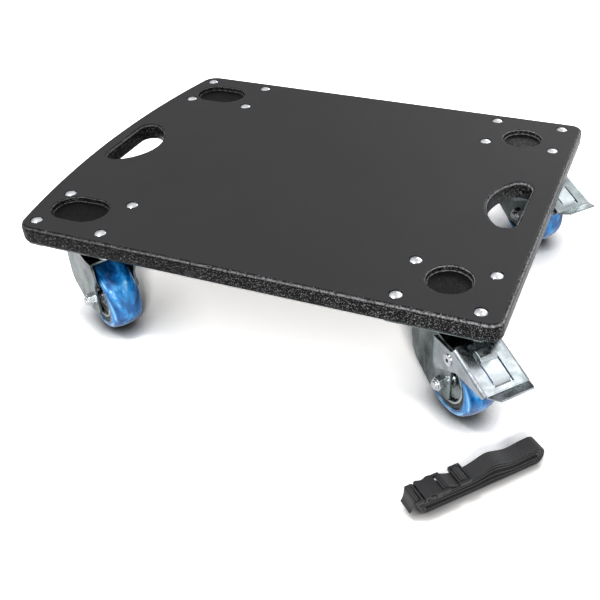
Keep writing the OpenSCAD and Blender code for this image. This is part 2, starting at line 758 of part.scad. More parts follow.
// The other end: up round the plug's bar and down beside the near bends
plug_end = concat(
    round_bar(plug_bar_s, bar_z, -50, 200),
    [[plug_bar_s - 3, 7.4], [plug_bar_s - 4, 4], [plug_bar_s - 6, 1]]);
hank = concat(
    [[-7.6, 7.6], [-4.6, strap_r0 + 2 * strap_pitch + 0.15], [-3, strap_r0 + 2 * strap_pitch]],
    reversed(arm(1, 2)), arm(0, 2),
    [[slider_s + 18, top_z], [slider_s + 12, top_z], [slider_s + 6.2, top_z]]);
strap_route = concat(reversed(plug_end), [for (p = filled(hank)) humped(p)], socket_end);

// Least free distance between points of the route that lie over two bends apart
function least_gap(pts, apart = 14) = min([for (i = [0 : len(pts) - 1 - apart])
    min([for (j = [i + apart : len(pts) - 1]) norm(pts[i] - pts[j])])]) - strap_t;
echo(strap_least_gap = least_gap(strap_route));

module at_strap() {
    translate([deck_len / 2 - strap_end_in, -deck_w / 2 - strap_side_out, floor_z + hank_under])
        rotate([0, 0, strap_turn]) children();
}

module strap_webbing() {
    color([0.13, 0.13, 0.14]) at_strap() across(0, strap_w)
        polygon(band_outline(strap_route, strap_t));
}

frame_w = 3;
module strap_bar(s, z, r) {
    translate([s, -seat_gap, z]) rotate([-90, 0, 0]) cylinder(r = r, h = strap_w + 2 * seat_gap);
}

// Bars that run beside the webbing, from s0 to s1
module side_bars(s0, s1, z0, z1) {
    for (y = [-seat_gap - frame_w, strap_w + seat_gap]) translate([s0, y, z0])
        cube([s1 - s0, frame_w, z1 - z0]);
}

module strap_slider() {
    half = 6;
    bar_w = 1.5;
    color([0.1, 0.1, 0.1]) at_strap() {
        side_bars(slider_s - half, slider_s + half, bar_z - 1.4, bar_z + 2.2);
        strap_bar(slider_s, bar_z - 0.4, 0.9);
        for (s = [-half, half - bar_w]) translate([slider_s + s, -seat_gap - eps, bar_z + 0.8])
            cube([bar_w, strap_w + 2 * (seat_gap + eps), 1.4]);
    }
}

socket_from = -4;
socket_to = 13;
socket_h = 6.6;
wall = 1.3;
module strap_buckle_socket() {
    out = frame_w + seat_gap;
    color([0.1, 0.1, 0.1]) at_strap() {
        difference() {
            translate([socket_from, -out, hank_top])
                cube([socket_to - socket_from, strap_w + 2 * out, socket_h]);
            translate([socket_from - 1, -out + wall, hank_top + wall])
                cube([socket_to - socket_from - wall + 1, strap_w + 2 * (out - wall),
                    socket_h - 2 * wall]);
            translate([socket_from + 3.5, -out - 1, hank_top + wall])
                cube([8, strap_w + 2 * out + 2, socket_h - 2 * wall]);
        }
        side_bars(socket_to - eps, socket_bar_s + 1.6, hank_top + 1.8, hank_top + socket_h - 0.8);
        strap_bar(socket_bar_s, bar_z, 1.3);
    }
}

module strap_buckle_plug() {
    out = frame_w + seat_gap - wall - seat_gap;
    tongue = socket_h - 2 * (wall + seat_gap);
    z0 = hank_top + wall + seat_gap;
    color([0.12, 0.12, 0.12]) at_strap() {
        strap_bar(plug_bar_s, bar_z, 1.3);
        side_bars(plug_bar_s - 1.6, socket_from - 1, z0, z0 + tongue);
        translate([socket_from - 3.4, -seat_gap - frame_w, z0])
            cube([2.9, strap_w + 2 * (seat_gap + frame_w), tongue]);
        for (y = [-out, strap_w + out - 3.2]) translate([socket_from - 1, y, z0])
            cube([11, 3.2, tongue]);
        translate([socket_from - 1, strap_w / 2 - 2, z0]) cube([13, 4, tongue]);
    }
}

if (shown("deck_board")) deck_board();
if (shown("plate_bolts")) plate_bolts();
if (shown("plate_nuts")) plate_nuts();
for (c = CASTERS) {
    if (shown(str(c[NAME], "_plate"))) translate([caster_x(c), caster_y(c), 0]) caster_plate();
    if (shown(str(c[NAME], "_kingpin"))) at_caster(c) kingpin();
    if (shown(str(c[NAME], "_swivel_balls"))) at_caster(c) swivel_balls();
    if (shown(str(c[NAME], "_fork"))) at_caster(c) fork(c[4]);
    if (shown(str(c[NAME], "_tyre"))) at_caster(c) tyre();
    if (shown(str(c[NAME], "_wheel_core"))) at_caster(c) wheel_core();
    if (shown(str(c[NAME], "_wheel_bearings"))) at_caster(c) wheel_bearings();
    if (shown(str(c[NAME], "_dust_covers"))) at_caster(c) dust_covers();
    if (shown(str(c[NAME], "_axle_sleeve"))) at_caster(c) axle_sleeve();
    if (shown(str(c[NAME], "_axle_bolt"))) at_caster(c) axle_bolt();
    if (shown(str(c[NAME], "_axle_nut"))) at_caster(c) axle_nut();
    if (c[4]) {
        if (shown(str(c[NAME], "_brake_pedal"))) at_caster(c) brake_pedal();
        if (shown(str(c[NAME], "_brake_lever"))) at_caster(c) brake_lever();
        if (shown(str(c[NAME], "_brake_strip"))) at_caster(c) brake_strip();
        if (shown(str(c[NAME], "_brake_rivets"))) at_caster(c) brake_rivets();
    }
}
if (shown("strap_webbing")) strap_webbing();
if (shown("strap_buckle_socket")) strap_buckle_socket();
if (shown("strap_buckle_plug")) strap_buckle_plug();
if (shown("strap_slider")) strap_slider();
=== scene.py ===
"""Looks of the transport dolly: deck, four swivel casters and the folded strap.

Everything stands in the CAD frame, in metres: the origin is the centre of the deck's top
face, X runs to the straight end, and the floor is the lowest point of the wheels.
"""

import json
import math

import bmesh
import bpy
from mathutils import Matrix, Vector


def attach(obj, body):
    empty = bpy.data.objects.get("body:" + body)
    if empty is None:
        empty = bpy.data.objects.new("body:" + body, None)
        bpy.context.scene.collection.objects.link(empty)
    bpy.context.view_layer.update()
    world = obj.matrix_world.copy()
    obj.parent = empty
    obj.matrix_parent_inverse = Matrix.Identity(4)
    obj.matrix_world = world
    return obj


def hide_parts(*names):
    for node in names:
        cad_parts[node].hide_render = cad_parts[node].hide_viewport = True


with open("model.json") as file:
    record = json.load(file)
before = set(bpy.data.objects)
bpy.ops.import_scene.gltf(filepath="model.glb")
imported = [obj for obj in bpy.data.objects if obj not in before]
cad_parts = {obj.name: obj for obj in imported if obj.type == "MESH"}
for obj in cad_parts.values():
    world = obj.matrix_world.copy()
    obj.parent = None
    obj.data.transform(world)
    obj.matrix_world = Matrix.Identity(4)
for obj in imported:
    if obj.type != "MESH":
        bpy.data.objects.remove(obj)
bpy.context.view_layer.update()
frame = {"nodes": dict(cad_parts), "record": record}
NODES = frame["nodes"]
MM = 0.001

# Places and sizes that part.scad gives too, in millimetres
DECK_LENGTH, DECK_WIDTH, DECK_THICK = 542, 426, 21
BOW_R, BOW_CORNER_R, STRAIGHT_CORNER_R, DECK_EDGE_R = 1000, 20, 14, 5
GRIP_LENGTH, GRIP_CORNER_R, GRIP_RIM_R = 94, 12, 5
GRIP_BOW_X, GRIP_BOW_W = -251, 45
GRIP_STRAIGHT_X, GRIP_STRAIGHT_W = 244, 38
CASTER_SHIFT, CASTER_DX, CASTER_DY = 6.5, 402, 330
BOLT_DX, BOLT_DY, BOLT_HOLE_R = 80, 60, 6.9
FOOT_R, FOOT_DEPTH, FOOT_RIM_R, FOOT_LONG = 22.5, 6, 2.5, 9.5
TRAIL, AXLE_Z, WHEEL_R, TYRE_WIDTH, CORE_R = 31, -87, 40, 36, 30
COVER_R, COVER_BORE_R, CUP_DEPTH = 25, 6.4, 4.5
FLOOR_Z = AXLE_Z - WHEEL_R
FLOOR_GAP = 0.2

# Each caster: its end and its side of the deck, its swivel angle, and whether it has a brake
CORNERS = {
    "front_right": (1, -1, -40.0, True),
    "rear_right": (1, 1, -39.5, True),
    "front_left": (-1, -1, -30.5, False),
    "rear_left": (-1, 1, -34.0, False),
}


def polar(radius, degrees):
    """Point at a radius and an angle."""
    angle = math.radians(degrees)
    return Vector((radius * math.cos(angle), radius * math.sin(angle)))


# Shader helpers


class Nodes:
    """A node tree with short calls for the nodes that this scene uses."""

    def __init__(self, tree):
        self.tree = tree

    def node(self, kind, inputs=None, **settings):
        made = self.tree.nodes.new(kind)
        for key, value in settings.items():
            setattr(made, key, value)
        for key, value in (inputs or {}).items():
            self.feed(made.inputs[key], value)
        return made

    def feed(self, socket, value):
        if isinstance(value, bpy.types.NodeSocket):
            self.tree.links.new(value, socket)
        else:
            socket.default_value = value

    def place(self, scale=(1, 1, 1)):
        """Object coordinates, stretched."""
        coords = self.node("ShaderNodeTexCoord").outputs["Object"]
        mapped = self.node("ShaderNodeMapping", {"Vector": coords, "Scale": scale})
        return mapped.outputs["Vector"]

    def noise(self, scale, detail=3, vector=None, rough=0.55):
        inputs = {"Scale": scale, "Detail": detail, "Roughness": rough}
        inputs["Vector"] = vector or self.place()
        return self.node("ShaderNodeTexNoise", inputs).outputs["Fac"]

    def cells(self, scale, vector=None):
        inputs = {"Scale": scale, "Vector": vector or self.place()}
        return self.node("ShaderNodeTexVoronoi", inputs).outputs["Distance"]

    def range(self, value, low, high, to_low, to_high):
        inputs = {0: value, 1: low, 2: high, 3: to_low, 4: to_high}
        return self.node("ShaderNodeMapRange", inputs).outputs[0]

    def math(self, operation, a, b=0.0):
        return self.node("ShaderNodeMath", {0: a, 1: b}, operation=operation).outputs[0]

    def ramp(self, value, *stops):
        made = self.node("ShaderNodeValToRGB", {"Fac": value})
        elements = made.color_ramp.elements
        while len(elements) < len(stops):
            elements.new(0.5)
        for element, (position, colour) in zip(elements, stops):
            element.position = position
            element.color = (*colour, 1)
        return made.outputs["Color"]

    def mix(self, factor, a, b):
        made = self.node("ShaderNodeMix", {"Factor": factor}, data_type="RGBA")
        for socket, value in ((made.inputs[6], a), (made.inputs[7], b)):
            self.feed(socket, value if isinstance(value, bpy.types.NodeSocket) else (*value, 1))
        return made.outputs[2]

    def between(self, factor, a, b):
        """A number between two others."""
        return self.node("ShaderNodeMix", {"Factor": factor, 2: a, 3: b}).outputs[0]

    def bump(self, height, distance, strength=1.0, edge=0.0):
        """Bump over edges that a small bevel rounds."""
        inputs = {"Height": height, "Distance": distance, "Strength": strength}
        if edge:
            inputs["Normal"] = self.node("ShaderNodeBevel", {"Radius": edge}).outputs[0]
        return self.node("ShaderNodeBump", inputs).outputs[0]

    def open_sky(self, reach):
        """1 in the open and less where something stands closer than the reach."""
        made = self.node("ShaderNodeAmbientOcclusion", {"Distance": reach}, samples=6)
        return made.outputs["AO"]

    def with_painted_shade(self, base, reach, low, high, most, dark):
        """Paints shade into a colour: mixes a dark tone in where the sky closes from high down to low."""
        return self.mix(self.range(self.open_sky(reach), low, high, most, 0), base, dark)

    def axis(self, output, which):
        """X, Y or Z of the place or the normal."""
        return self.node("ShaderNodeSeparateXYZ", {0: output}).outputs[which]

    def looked_at(self):
        """Two switches: rays from the camera, and rays that a mirror or glass sends on."""
        path = self.node("ShaderNodeLightPath").outputs
        mirrored = self.math("MAXIMUM", path["Is Glossy Ray"], path["Is Transmission Ray"])
        return path["Is Camera Ray"], mirrored


class Shader(Nodes):
    """A material drawn with its own Principled BSDF."""

    def __init__(self, name):
        self.material = bpy.data.materials.new(name)
        self.material.use_nodes = True
        super().__init__(self.material.node_tree)
        self.bsdf = self.tree.nodes["Principled BSDF"]

    def set(self, **inputs):
        """Feeds the sockets of the BSDF; _ stands for a space in their names."""
        for key, value in inputs.items():
            self.feed(self.bsdf.inputs[key.replace("_", " ")], value)
        return self


# Where along the deck the painted light on its edges, pale flecks and a pale highlight line, is weakest and
# strongest
PAINTED_DIM_X, PAINTED_BRIGHT_X = -0.25, 0.27


def deck_paint():
    """Black structure paint: fine dull grain on top, glossy pebbles on the edges, pale flecks painted on
    them as glints and a highlight line painted along the top rounding.
    """
    s = Shader("deck_paint")
    up = s.axis(s.node("ShaderNodeNewGeometry").outputs["Normal"], "Z")
    flat = s.range(up, 0.93, 0.985, 0, 1)
    top = s.math("MULTIPLY", flat, s.range(s.axis(s.place(), "Z"), -2 * MM, -1 * MM, 0, 1))
    wall = s.math("MULTIPLY", s.range(up, 0.93, 0.985, 1, 0), s.range(up, -0.9, -0.5, 0, 1))
    # Painted light: a share from 0 to 1 along X, by which the painted highlights grow towards the straight
    # end
    right = s.range(s.axis(s.place(), "X"), PAINTED_DIM_X, PAINTED_BRIGHT_X, 0, 1)

    grain = s.noise(1500, 2)
    pebbles = s.noise(900, 2)
    spots = s.range(s.cells(640), 0.1, 0.6, 1, 0)
    rough_height = s.math("ADD", s.math("MULTIPLY", pebbles, 1.2), spots)
    fine = s.math("MULTIPLY", s.math("ADD", grain, s.math("MULTIPLY", pebbles, 0.6)), 0.35)
    height = s.between(top, rough_height, fine)

    # Painted highlight: pale flecks on the walls stand for glints; the same mask also raises the gloss
    # there
    painted_sparkle = s.range(s.noise(950, 2), s.range(right, 0, 1, 0.62, 0.55), 0.68, 0, 1)
    painted_sparkle = s.math("MULTIPLY", painted_sparkle, wall)
    # Painted highlight: a pale line along the top rounding, patchy and stronger towards the straight end
    rim = s.math("MULTIPLY", s.range(up, 0.42, 0.58, 0, 1), s.range(up, 0.70, 0.86, 1, 0))
    rim = s.math("MULTIPLY", rim, s.range(s.noise(420, 2), 0.35, 0.6, 0.1, 1))
    rim = s.math("MULTIPLY", rim, s.range(right, 0, 1, 0.3, 1))

    cloud = s.noise(9, 3)
    dark = s.mix(cloud, (0.0028, 0.0028, 0.0030), (0.0048, 0.0048, 0.0050))
    # The edges' colour takes the painted flecks and the painted highlight line
    dark = s.mix(painted_sparkle, dark, (0.20, 0.20, 0.205))
    dark = s.mix(rim, dark, (0.30, 0.30, 0.305))
    grey = s.mix(cloud, (0.0205, 0.0205, 0.0213), (0.027, 0.027, 0.028))
    grey = s.mix(s.range(grain, 0.62, 0.8, 0, 0.4), grey, (0.05, 0.05, 0.052))
    s.set(Base_Color=s.mix(top, dark, grey), Roughness=s.range(top, 0, 1, 0.13, 0.62))
    s.set(Specular_IOR_Level=s.between(top, s.range(painted_sparkle, 0, 1, 0.07, 0.9), 0.2))
    return s.set(Normal=s.bump(height, s.range(top, 0, 1, 0.24 * MM, 0.5 * MM), 1.0)).material


def zinc(name, light, dark, rough=0.24, cloud_scale=55, streak=1.0):
    """Blue passivated zinc with soft clouds or upright streaks, scratches and dulled patches."""
    s = Shader(name)
    cloud = s.noise(cloud_scale, 5, s.place((1, 1, streak)), rough=0.6)
    tint = s.noise(24, 2)
    base = s.ramp(cloud, (0.3, dark), (0.7, light))
    teal = tuple(c * w for c, w in zip(light, (0.90, 1.06, 1.0)))
    lilac = tuple(c * w for c, w in zip(light, (1.04, 0.98, 1.10)))
    base = s.mix(s.range(tint, 0.45, 0.7, 0, 0.35), base, teal)
    base = s.mix(s.range(tint, 0.3, 0.45, 0.25, 0), base, lilac)
    # Painted shade: darker where something stands within 30 mm
    base = s.with_painted_shade(base, 30 * MM, 0, 0.8, 0.75, (0.02, 0.022, 0.022))
    scratch = s.noise(900, 2, s.place((1, 0.12, 1)))
    patches = s.range(s.noise(140, 4), 0.35, 0.7, rough - 0.08, rough + 0.12)
    height = s.math("ADD", s.math("MULTIPLY", scratch, 0.3), s.noise(260, 3))
    s.set(Base_Color=base, Metallic=1.0, Roughness=patches)
    return s.set(Normal=s.bump(height, 0.05 * MM, 0.5, 0.35 * MM)).material


def steel(name, colour, rough):
    """Bright turned or pressed steel with faint machining marks."""
    s = Shader(name)
    marks = s.noise(1200, 3)
    tone = tuple(0.72 * c for c in colour)
    base = s.mix(s.range(s.noise(180, 4), 0.4, 0.7, 0, 1), tone, colour)
    s.set(Base_Color=base, Metallic=1.0, Roughness=s.range(marks, 0.3, 0.7, rough, rough + 0.15))
    return s.set(Normal=s.bump(marks, 0.03 * MM, 0.5, 0.2 * MM)).material


def tread_blue():
    """Clear blue elastic tread: pale swirls run round the wheel, whose axle is local Y."""
    s = Shader("blue_tread")
    place = s.node("ShaderNodeSeparateXYZ", {0: s.place()})
    x, y, z = (place.outputs[i] for i in range(3))
    radius = s.math("SQRT", s.math("ADD", s.math("MULTIPLY", x, x), s.math("MULTIPLY", z, z)))
    turn = s.math("ARCTAN2", z, x)
    wave = s.math("MULTIPLY", s.math("SINE", turn), 1.4)
    wave_2 = s.math("COSINE", s.math("MULTIPLY", turn, 2.0))
    swirl = s.node(
        "ShaderNodeCombineXYZ",
        {
            0: s.math("ADD", s.math("MULTIPLY", radius, 300), wave),
            1: s.math("MULTIPLY", y, 70),
            2: wave_2,
        },
    ).outputs[0]
    streaks = s.noise(0.9, 3, swirl)
    clouds = s.noise(45, 2)
    base = s.ramp(
        streaks,
        (0.32, (0.001, 0.026, 0.10)),
        (0.46, (0.005, 0.125, 0.40)),
        (0.57, (0.035, 0.34, 0.78)),
        (0.68, (0.50, 0.78, 0.95)),
    )
    base = s.mix(s.range(clouds, 0.5, 0.75, 0, 0.5), base, (0.02, 0.23, 0.55))
    # Painted shade: darker where something stands within 20 mm
    base = s.with_painted_shade(base, 20 * MM, 0, 0.7, 0.95, (0.001, 0.004, 0.012))
    s.set(Base_Color=base, Roughness=s.range(clouds, 0.3, 0.7, 0.16, 0.34))
    s.set(Subsurface_Weight=0.15, Subsurface_Radius=(0.002, 0.004, 0.008), Subsurface_Scale=1.0)
    s.set(Coat_Weight=0.35, Coat_Roughness=0.1, Specular_IOR_Level=0.45)
    return s.set(Normal=s.bump(s.noise(160, 2), 0.08 * MM, 0.4)).material


def plastic(name, colour, rough):
    """Moulded plastic with a fine eroded grain."""
    s = Shader(name)
    base = s.mix(s.noise(60, 3), tuple(0.7 * c for c in colour), tuple(1.3 * c for c in colour))
    # Painted shade: darker where something stands within 6 mm
    base = s.with_painted_shade(base, 6 * MM, 0.1, 0.7, 0.85, (0.001, 0.001, 0.001))
    s.set(Base_Color=base, Roughness=s.range(s.noise(300, 2), 0.3, 0.7, rough - 0.06, rough + 0.1))
    return s.set(Normal=s.bump(s.noise(1400, 2), 0.06 * MM, 0.5, 0.3 * MM)).material


# Millimetres from rib to rib along the webbing and from yarn to yarn across it
RIB_PITCH, YARN_PITCH = 1.9, 1.1


def webbing():
    """Ribbed webbing: U runs along the strap and V across it, both in millimetres."""
    s = Shader("strap_webbing")
    uv = s.node("ShaderNodeSeparateXYZ", {0: s.node("ShaderNodeUVMap").outputs[0]})
    along, across = uv.outputs[0], uv.outputs[1]
    turn = 2 * math.pi
    rib = s.math("SINE", s.math("MULTIPLY", along, turn / RIB_PITCH))
    yarn = s.math("SINE", s.math("MULTIPLY", across, turn / YARN_PITCH))
    cross = s.math("MULTIPLY", rib, yarn)
    fibres = s.noise(3000, 2, s.place((1, 1, 0.4)))
    height = s.math("ADD", rib, s.math("ADD", s.math("MULTIPLY", cross, 0.35), fibres))
    # Painted shade and highlight: the colour follows the weave's height, dark in its hollows and pale on
    # the rib tops
    painted_weave_light = s.range(height, -0.6, 1.9, 0, 1)
    base = s.ramp(
        painted_weave_light,
        (0.15, (0.003, 0.003, 0.0032)),
        (0.6, (0.016, 0.016, 0.017)),
        (0.95, (0.060, 0.060, 0.063)),
    )
    # Painted shade: darker where something stands within 6 mm
    base = s.with_painted_shade(base, 6 * MM, 0.1, 0.7, 0.85, (0.001, 0.001, 0.001))
    s.set(Base_Color=base, Roughness=0.72, Sheen_Weight=0.15, Sheen_Roughness=0.4)
    return s.set(Normal=s.bump(height, 0.18 * MM, 0.8)).material


LIGHT_ZINC, DARK_ZINC = (0.34, 0.385, 0.385), (0.030, 0.040, 0.039)
MATERIALS = {
    "deck_paint": deck_paint(),
    "zinc_plate": zinc("zinc_plate", LIGHT_ZINC, DARK_ZINC, streak=0.45),
    "bright_zinc": steel("bright_zinc", (0.86, 0.88, 0.90), 0.16),
    "ball_steel": steel("ball_steel", (0.66, 0.67, 0.70), 0.14),
    "cover_steel": zinc("cover_steel", (0.60, 0.64, 0.64), (0.36, 0.40, 0.41), 0.26, 90),
    "spring_steel": zinc("spring_steel", (0.78, 0.83, 0.85), (0.60, 0.66, 0.69), 0.3, 120),
    "blue_tread": tread_blue(),
    "black_core": plastic("black_core", (0.010, 0.010, 0.011), 0.35),
    "strap_webbing": webbing(),
    "buckle_plastic": plastic("buckle_plastic", (0.013, 0.013, 0.014), 0.34),
}

# Painted light: the pedals carry a brighter copy of the same zinc, for the light that their upturned flats
# catch
PAINTED_LIT_PEDAL_ZINC = zinc("zinc_pedal_painted_lit", (0.56, 0.60, 0.62), (0.26, 0.30, 0.305))
SLOT_OF = {s["node"]: s["material_slot"] for s in frame["record"]["subparts"]}


# Mesh helpers


def new_piece(name, bm, slot, body, nodes=(), at=None, smooth=40):
    """Turns a bmesh drawn in millimetres into a piece that rides on a body."""
    bmesh.ops.recalc_face_normals(bm, faces=bm.faces)
    bm.transform(Matrix.Scale(MM, 4))
    mesh = bpy.data.meshes.new(name)
    bm.to_mesh(mesh)
    bm.free()
    obj = bpy.data.objects.new(name, mesh)
    bpy.context.scene.collection.objects.link(obj)
    obj.data.materials.append(MATERIALS[slot])
    if at is not None:
        obj.matrix_world = at
    soften(obj, smooth)
    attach(obj, body)
    if nodes:
        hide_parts(*nodes)
    return obj


def soften(obj, degrees):
    """Smooth shading up to an angle, with flat faces kept flat."""
    obj.data.shade_smooth()
    obj.data.set_sharp_from_angle(angle=math.radians(degrees))
    weighted = obj.modifiers.new("weighted", "WEIGHTED_NORMAL")
    weighted.keep_sharp = True


SHARP_ANGLE = 40


def rounded(obj, width):
    """Rounds the sharp edges, before the shading modifiers."""
    bevel = obj.modifiers.new("bevel", "BEVEL")
    bevel.width = width * MM
    bevel.segments = 2
    bevel.limit_method = "ANGLE"
    bevel.angle_limit = math.radians(SHARP_ANGLE)
    obj.modifiers.move(len(obj.modifiers) - 1, 0)
    return obj


def loft(bm, rings, closed=False):
    """Skins rings of equal count. closed joins the last ring to the first, else both get a cap."""
    made = [[bm.verts.new(p) for p in ring] for ring in rings]
    pairs = list(zip(made, made[1:]))
    if closed:
        pairs.append((made[-1], made[0]))
    for low, high in pairs:
        for i in range(len(low)):
            j = (i + 1) % len(low)
            bm.faces.new((low[i], low[j], high[j], high[i]))
    if not closed:
        bm.faces.new(made[0])
        bm.faces.new(made[-1])
    return bm


def lathe(bm, profile, steps=96):
    """Turns a closed profile of (radius, height along Y) round the Y axis."""
    rings = []
    for k in range(steps):
        angle = 2 * math.pi * k / steps
        c, s = math.cos(angle), math.sin(angle)
        rings.append([(r * c, y, r * s) for r, y in profile])
    return loft(bm, rings, closed=True)


def prism(bm, outline, low, high):
    """Stands an outline of (x, y) up from low to high."""
    return loft(bm, [[(x, y, z) for x, y in outline] for z in (low, high)])


def baked(obj):
    """Mesh of an object with its modifiers or its curve worked out."""
    bpy.context.view_layer.update()
    graph = bpy.context.evaluated_depsgraph_get()
    return bpy.data.meshes.new_from_object(obj.evaluated_get(graph))


def carve(obj, cutters):
    """Cuts closed meshes out of a piece for good."""
    for cutter in cutters:
        cut = obj.modifiers.new("cut", "BOOLEAN")
        cut.object = cutter
        cut.operation = "DIFFERENCE"
        cut.solver = "EXACT"
    cut_mesh = baked(obj)
    obj.modifiers.clear()
    obj.data = cut_mesh
    for cutter in cutters:
        bpy.data.objects.remove(cutter)


def loose_mesh(name, bm):
    """A helper mesh in metres that no piece keeps."""
    bmesh.ops.recalc_face_normals(bm, faces=bm.faces)
    bm.transform(Matrix.Scale(MM, 4))
    mesh = bpy.data.meshes.new(name)
    bm.to_mesh(mesh)
    bm.free()
    obj = bpy.data.objects.new(name, mesh)
    bpy.context.scene.collection.objects.link(obj)
    return obj


# Deck


def arc(middle, radius, start, end, steps):
    """Points along an arc, its angles in degrees."""
    return [Vector(middle) + polar(radius, start + (end - start) * i / steps) for i in range(steps + 1)]


def bowed_outline(x0, x1, half, bow, r0, r1, grow):
    """Closed outline with a bowed end at x0 and a straight end at x1, grown outwards."""
    phi = math.degrees(math.asin((half - r0) / (bow - r0)))
    c0 = x0 + bow - (bow - r0) * math.cos(math.radians(phi))
    c1 = x1 - r1
    points = arc((c1, half - r1), r1 + grow, 0, 90, 10)
    points += arc((c0, half - r0), r0 + grow, 90, 180 - phi, 10)
    points += arc((x0 + bow, 0), bow + grow, 180 - phi, 180 + phi, 24)[1:-1]
    points += arc((c0, r0 - half), r0 + grow, 180 + phi, 270, 10)
    points += arc((c1, r1 - half), r1 + grow, 270, 360, 10)
    return points


def stacked(outline, levels, place=Matrix.Identity(4)):
    """Loft through levels of (growth, height)."""
    rings = [[place @ Vector((*p, z)) for p in outline(grow)] for grow, z in levels]
    bm = bmesh.new()
    loft(bm, rings)
    bmesh.ops.remove_doubles(bm, verts=bm.verts, dist=1e-4)
    return bm


EDGE_STEPS = 6


def edge_levels(radius, z, side):
    """Quarter round at an edge, from the wall to the face. side is 1 at the top."""
    turns = [90 * i / EDGE_STEPS for i in range(EDGE_STEPS + 1)]
    return [
        (-radius * (1 - math.cos(math.radians(t))), z - side * radius * (1 - math.sin(math.radians(t))))
        for t in turns
    ]


def flare_levels(radius, z, side):
    """Quarter round by which a cut opens at a face."""
    return [(-grow, height) for grow, height in edge_levels(radius, z, side)]


def grip_outline(width):
    """Half-moon outline, for any growth: straight at x = 0 and bowed at x = -width."""
    half, r = GRIP_LENGTH / 2, GRIP_CORNER_R
    bow = ((width - r) ** 2 + (half - r) ** 2 - r * r) / (2 * (width - 2 * r))
    return lambda grow: bowed_outline(-width, 0, half, bow, r, r, grow)


def grip_cutter(name, x, width, mirrored):
    """Handle opening through the deck, flared at both faces."""
    place = Matrix.Translation((x, 0, 0)) @ Matrix.Scale(-1 if mirrored else 1, 4, (1, 0, 0))
    top = flare_levels(GRIP_RIM_R, 0, 1)
    bottom = flare_levels(GRIP_RIM_R, -DECK_THICK, -1)
    levels = [(GRIP_RIM_R, -DECK_THICK - 1)] + bottom[::-1] + top + [(GRIP_RIM_R, 1)]
    return loose_mesh(name, stacked(grip_outline(width), levels, place))


def foot_cutter(name, x, y, long):
    """Foot recess, round or drawn out by long to each side."""

    def outline(grow):
        right = arc((long, 0), FOOT_R + grow, -90, 90, 28)
        left = arc((-long, 0), FOOT_R + grow, 90, 270, 28)
        return right + left if long else right[:-1] + left[:-1]

    floor = [(-2.5, -FOOT_DEPTH), (-1, -FOOT_DEPTH + 0.4), (-0.2, -FOOT_DEPTH + 1.2)]
    levels = floor + flare_levels(FOOT_RIM_R, 0, 1) + [(FOOT_RIM_R, 1)]
    return loose_mesh(name, stacked(outline, levels, Matrix.Translation((x, y, 0))))


def round_cutter(name, x, y, radius, low, high):
    """Seat under a bolt's head."""
    bm = bmesh.new()
    prism(bm, [polar(radius, 11.25 * k) + Vector((x, y)) for k in range(32)], low, high)
    return loose_mesh(name, bm)


def make_deck():
    """Painted board with rounded edges, two openings, four foot recesses and bolt seats."""
    half = DECK_LENGTH / 2

    def outline(grow):
        return bowed_outline(-half, half, DECK_WIDTH / 2, BOW_R, BOW_CORNER_R, STRAIGHT_CORNER_R, grow)

    levels = edge_levels(DECK_EDGE_R, -DECK_THICK, -1)[::-1] + edge_levels(DECK_EDGE_R, 0, 1)
    deck = new_piece("deck_finish", stacked(outline, levels), "deck_paint", "deck", ["deck_board"])
    cutters = [
        grip_cutter("cut_bow_grip", GRIP_BOW_X, GRIP_BOW_W, True),
        grip_cutter("cut_straight_grip", GRIP_STRAIGHT_X, GRIP_STRAIGHT_W, False),
    ]
    for side in (-1, 1):
        round_x, long_x = CASTER_SHIFT + CASTER_DX / 2, CASTER_SHIFT - CASTER_DX / 2 - 9
        cutters.append(foot_cutter("cut_foot", round_x, side * (CASTER_DY / 2 - 9), 0))
        cutters.append(foot_cutter("cut_foot", long_x, side * (CASTER_DY / 2 - 4.5), FOOT_LONG))
    for sx, sy, _, _ in CORNERS.values():
        for bx in (-1, 1):
            for by in (-1, 1):
                x = CASTER_SHIFT + sx * CASTER_DX / 2 + bx * BOLT_DX / 2
                y = sy * CASTER_DY / 2 + by * BOLT_DY / 2
                cutters.append(round_cutter("cut_bolt", x, y, BOLT_HOLE_R, -1.2, 1))
    carve(deck, cutters)
    soften(deck, 35)
    return deck


# Casters


def caster_place(corner, painted_weave_light, ahead):
    """Caster frame: local X is the trail's direction, local Y the axle."""
    sx, sy, turn, _ = CORNERS[corner]
    at = Vector((CASTER_SHIFT + sx * CASTER_DX / 2, sy * CASTER_DY / 2, 0)) * MM
    spin = Matrix.Rotation(math.radians(turn), 4, "Z")
    return Matrix.Translation(at) @ spin @ Matrix.Translation(Vector((ahead, 0, painted_weave_light)) * MM)


def tyre_profile():
    """Crowned tread on the core, as (radius, height along the axle)."""
    half, crown, shoulder = TYRE_WIDTH / 2, 1.1, 8
    points = [(CORE_R, half - 1.2), (CORE_R + 1.2, half - 0.2), (WHEEL_R - crown - shoulder - 1, half)]
    points += [tuple(p) for p in arc((WHEEL_R - crown - shoulder, half - shoulder), shoulder, 90, 20, 10)]
    points += [(WHEEL_R - crown * (y / 12) ** 2, y) for y in (7, 4, 0)]
    return points + [(r, -y) for r, y in points[-2::-1]]


